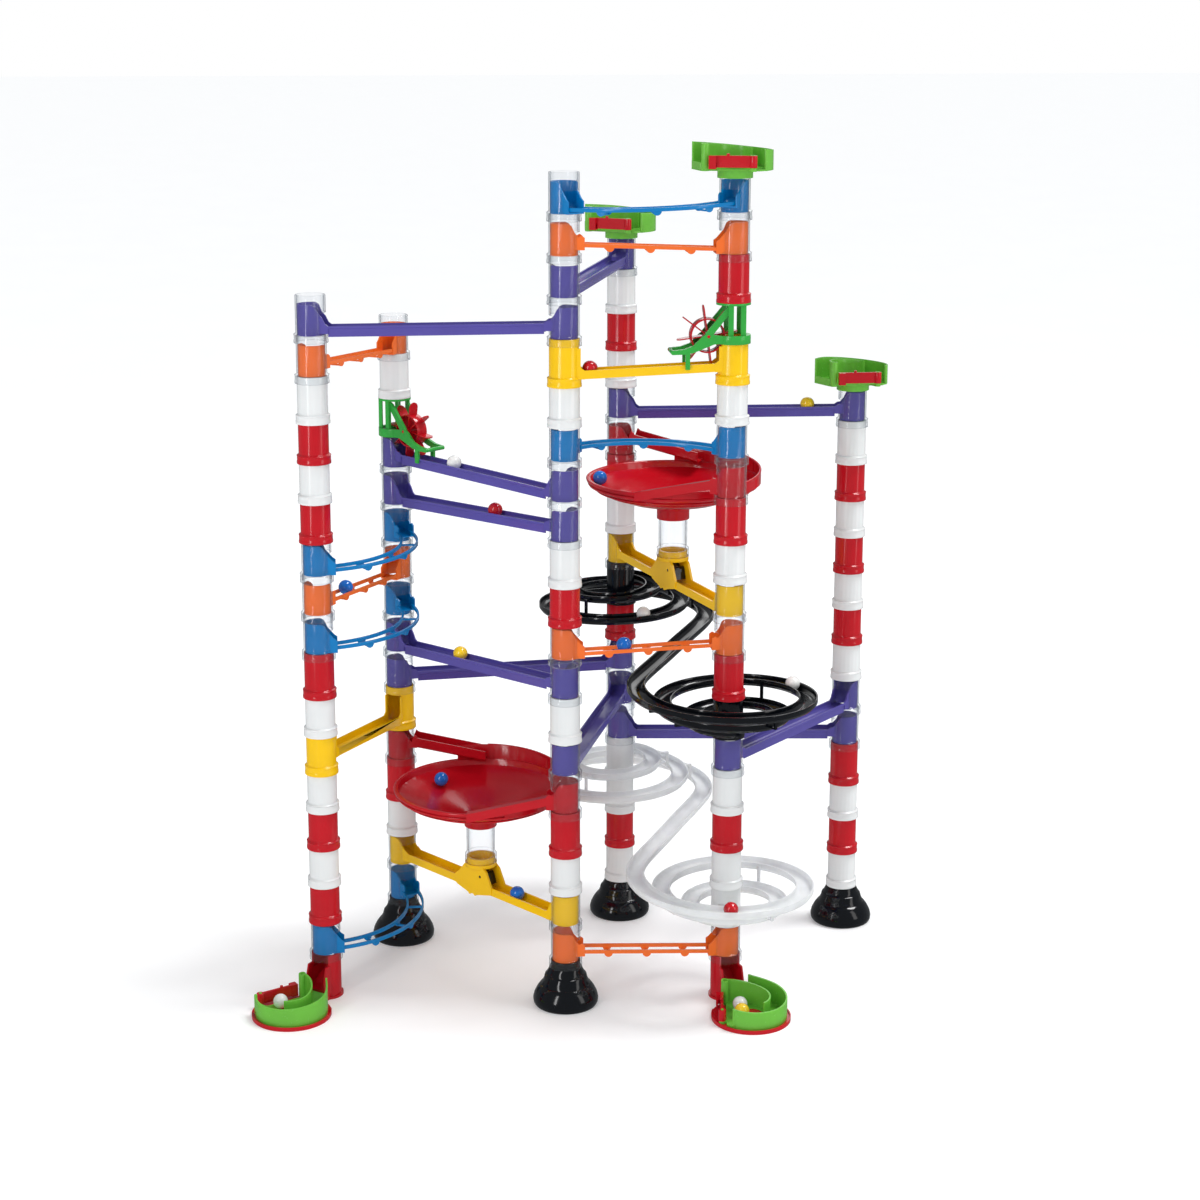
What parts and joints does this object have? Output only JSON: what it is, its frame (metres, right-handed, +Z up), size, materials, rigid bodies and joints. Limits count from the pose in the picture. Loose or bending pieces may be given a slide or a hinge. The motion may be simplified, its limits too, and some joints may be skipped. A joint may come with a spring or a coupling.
{
  "type": "marble run",
  "caption": "Marble run of plugged tube columns joined by sloping channels, rails, funnels and spirals, with paddle wheels, levered trays and rolling marbles.",
  "frame": {"origin": "centre of column C's round foot, on the floor", "axes": "+Z up; +X from column C to column D, along the front short pair; +Y away from the front, towards column E"},
  "size_m": [0.6821, 0.4268, 0.8742],
  "materials": {
    "black_plastic": "moulded gloss",
    "blue_plastic": "moulded gloss",
    "clear_plastic": "clear gloss",
    "frosted_plastic": "translucent satin",
    "green_plastic": "moulded gloss",
    "marble_blue": "polished opaque glass",
    "marble_red": "polished opaque glass",
    "marble_white": "polished opaque glass",
    "marble_yellow": "polished opaque glass",
    "orange_plastic": "moulded gloss",
    "purple_plastic": "moulded gloss",
    "red_plastic": "moulded gloss",
    "white_plastic": "moulded gloss",
    "yellow_plastic": "moulded gloss"
  },
  "bodies": {
    "structure": {"bases": "black_plastic", "blue_rails_ab": "blue_plastic", "blue_rails_cd": "blue_plastic", "catching_tray_a": "green_plastic", "catching_tray_d": "green_plastic", "clear_tubes": "clear_plastic", "drop_tubes": "clear_plastic", "exit_base_a": "red_plastic", "exit_base_d": "red_plastic", "funnel_lower": "red_plastic", "funnel_upper": "red_plastic", "gate_track_lower": "yellow_plastic", "gate_track_upper": "yellow_plastic", "loading_tray_d": "green_plastic", "loading_tray_e": "green_plastic", "loading_tray_f": "green_plastic", "orange_rails_ab": "orange_plastic", "orange_rails_cd": "orange_plastic", "purple_channel_bc_13": "purple_plastic", "purple_channel_be_7": "purple_plastic", "purple_channel_ca_17": "purple_plastic", "purple_channel_cb_12": "purple_plastic", "purple_channel_cb_8": "purple_plastic", "purple_channel_df_6": "purple_plastic", "purple_channel_ec_18": "purple_plastic", "purple_channel_ec_6": "purple_plastic", "purple_channel_fe_14": "purple_plastic", "purple_channel_fe_5": "purple_plastic", "red_tubes": "red_plastic", "spiral_black": "black_plastic", "spiral_frosted": "frosted_plastic", "wheel_frame_bc": "green_plastic", "wheel_frame_cd": "green_plastic", "white_tubes": "white_plastic", "yellow_channels": "yellow_plastic"},
    "paddle_wheel_cd": {"paddle_wheel_cd": "red_plastic"},
    "paddle_wheel_bc": {"paddle_wheel_bc": "red_plastic"},
    "gate_flap_upper": {"gate_flap_upper": "black_plastic"},
    "gate_flap_lower": {"gate_flap_lower": "black_plastic"},
    "lever_d": {"lever_d": "red_plastic"},
    "lever_e": {"lever_e": "red_plastic"},
    "lever_f": {"lever_f": "red_plastic"},
    "catch_lever_a": {"catch_lever_a": "red_plastic"},
    "catch_lever_d": {"catch_lever_d": "red_plastic"},
    "marble_yellow_short_cd": {"marble_yellow_short_cd": "marble_red"},
    "marble_purple_fe": {"marble_purple_fe": "marble_yellow"},
    "marble_purple_bc_upper": {"marble_purple_bc_upper": "marble_white"},
    "marble_purple_bc_middle": {"marble_purple_bc_middle": "marble_red"},
    "marble_orange_ab": {"marble_orange_ab": "marble_blue"},
    "marble_orange_cd": {"marble_orange_cd": "marble_blue"},
    "marble_purple_bc_lower": {"marble_purple_bc_lower": "marble_yellow"},
    "marble_gate_bc": {"marble_gate_bc": "marble_blue"},
    "marble_funnel_upper": {"marble_funnel_upper": "marble_blue"},
    "marble_funnel_lower": {"marble_funnel_lower": "marble_blue"},
    "marble_spiral_upper": {"marble_spiral_upper": "marble_white"},
    "marble_spiral_black": {"marble_spiral_black": "marble_white"},
    "marble_spiral_frosted": {"marble_spiral_frosted": "marble_red"},
    "marble_catch_a": {"marble_catch_a": "marble_white"},
    "marble_catch_d_1": {"marble_catch_d_1": "marble_white"},
    "marble_catch_d_2": {"marble_catch_d_2": "marble_yellow"}
  },
  "joints": [
    {"name": "wheel_spin_cd", "type": "hinge", "parent": "structure", "child": "paddle_wheel_cd", "pos_m": [0.1392, 0, 0.688], "axis": [0, -1, 0], "continuous": true},
    {"name": "wheel_spin_bc", "type": "hinge", "parent": "structure", "child": "paddle_wheel_bc", "pos_m": [-0.14451, 0.16879, 0.568], "axis": [0.7596, 0.6504, 0], "continuous": true},
    {"name": "flap_rock_upper", "type": "hinge", "parent": "structure", "child": "gate_flap_upper", "pos_m": [0.12674, 0.10845, 0.427], "axis": [0.943, 0.3327, 0], "range_deg": [-20, 5]},
    {"name": "flap_rock_lower", "type": "hinge", "parent": "structure", "child": "gate_flap_lower", "pos_m": [-0.07479, 0.08736, 0.107], "axis": [0.7596, 0.6504, 0], "range_deg": [-20, 5]},
    {"name": "lever_swing_d", "type": "hinge", "parent": "structure", "child": "lever_d", "pos_m": [0.17671, -0.03357, 0.8568], "axis": [0, 0, 1], "range_deg": [0, 35]},
    {"name": "lever_swing_e", "type": "hinge", "parent": "structure", "child": "lever_e", "pos_m": [0.08512, 0.19841, 0.7768], "axis": [0, 0, 1], "range_deg": [0, 35]},
    {"name": "lever_swing_f", "type": "hinge", "parent": "structure", "child": "lever_f", "pos_m": [0.34629, 0.15898, 0.6168], "axis": [0, 0, 1], "range_deg": [0, 35]},
    {"name": "catch_lever_swing_a", "type": "hinge", "parent": "structure", "child": "catch_lever_a", "pos_m": [-0.3108, 0.01297, 0.0115], "axis": [0, 0, 1], "range_deg": [0, 35]},
    {"name": "catch_lever_swing_d", "type": "hinge", "parent": "structure", "child": "catch_lever_d", "pos_m": [0.15065, -0.07309, 0.0115], "axis": [0, 0, 1], "range_deg": [0, 35]},
    {"name": "roll_yellow_short_cd", "type": "slide", "parent": "structure", "child": "marble_yellow_short_cd", "axis": [-0.9992, 0, -0.0393], "range_m": [-0.07206, 0.003]},
    {"name": "roll_purple_fe", "type": "slide", "parent": "structure", "child": "marble_purple_fe", "axis": [-0.9827, 0.1834, -0.0262], "range_m": [-0.02401, 0.17606]},
    {"name": "roll_purple_bc_upper", "type": "slide", "parent": "structure", "child": "marble_purple_bc_upper", "axis": [0.6501, -0.7594, -0.0262], "range_m": [-0.02201, 0.13405]},
    {"name": "roll_purple_bc_middle", "type": "slide", "parent": "structure", "child": "marble_purple_bc_middle", "axis": [-0.6501, 0.7594, -0.0262], "range_m": [-0.07403, 0.12604]},
    {"name": "roll_orange_ab", "type": "slide", "parent": "structure", "child": "marble_orange_ab", "axis": [0.4996, 0.8654, -0.0393], "range_m": [-0.03202, 0.08507]},
    {"name": "roll_orange_cd", "type": "slide", "parent": "structure", "child": "marble_orange_cd", "axis": [-0.9992, 0, -0.0393], "range_m": [-0.08206, 0.03503]},
    {"name": "roll_purple_bc_lower", "type": "slide", "parent": "structure", "child": "marble_purple_bc_lower", "axis": [-0.6501, 0.7594, -0.0262], "range_m": [-0.12804, 0.07202]},
    {"name": "roll_gate_bc", "type": "slide", "parent": "structure", "child": "marble_gate_bc", "axis": [0.6501, -0.7594, -0.0262], "range_m": [-0.01601, 0.04602]},
    {"name": "roll_funnel_upper", "type": "hinge", "parent": "structure", "child": "marble_funnel_upper", "pos_m": [0.12375, 0.11694, 0.52], "axis": [0, 0, 1], "range_deg": [-60, 25]},
    {"name": "roll_funnel_lower", "type": "hinge", "parent": "structure", "child": "marble_funnel_lower", "pos_m": [-0.08065, 0.09419, 0.2], "axis": [0, 0, 1], "continuous": true},
    {"name": "roll_spiral_upper", "type": "hinge", "parent": "structure", "child": "marble_spiral_upper", "pos_m": [0.07832, 0.2327, 0.36529], "axis": [-0.0358, -0.0133, 0.9993], "range_deg": [-25, 25]},
    {"name": "roll_spiral_black", "type": "hinge", "parent": "structure", "child": "marble_spiral_black", "pos_m": [0.16685, -0.00392, 0.32337], "axis": [-0.0174, 0.0305, 0.9994], "range_deg": [-23, 23]},
    {"name": "roll_spiral_frosted", "type": "hinge", "parent": "structure", "child": "marble_spiral_frosted", "pos_m": [0.16069, 0.00032, 0.12896], "axis": [0.0314, -0.0001, 0.9995], "range_deg": [-21, 21]},
    {"name": "roll_catch_a", "type": "slide", "parent": "structure", "child": "marble_catch_a", "axis": [-0.5592, -0.829, 0], "range_m": [-0.003, 0.006]},
    {"name": "roll_catch_d_1", "type": "slide", "parent": "structure", "child": "marble_catch_d_1", "axis": [0.6561, 0.7547, 0], "range_m": [0, 0.004]},
    {"name": "roll_catch_d_2", "type": "slide", "parent": "structure", "child": "marble_catch_d_2", "axis": [0.5878, -0.809, 0], "range_m": [0, 0.006]}
  ]
}
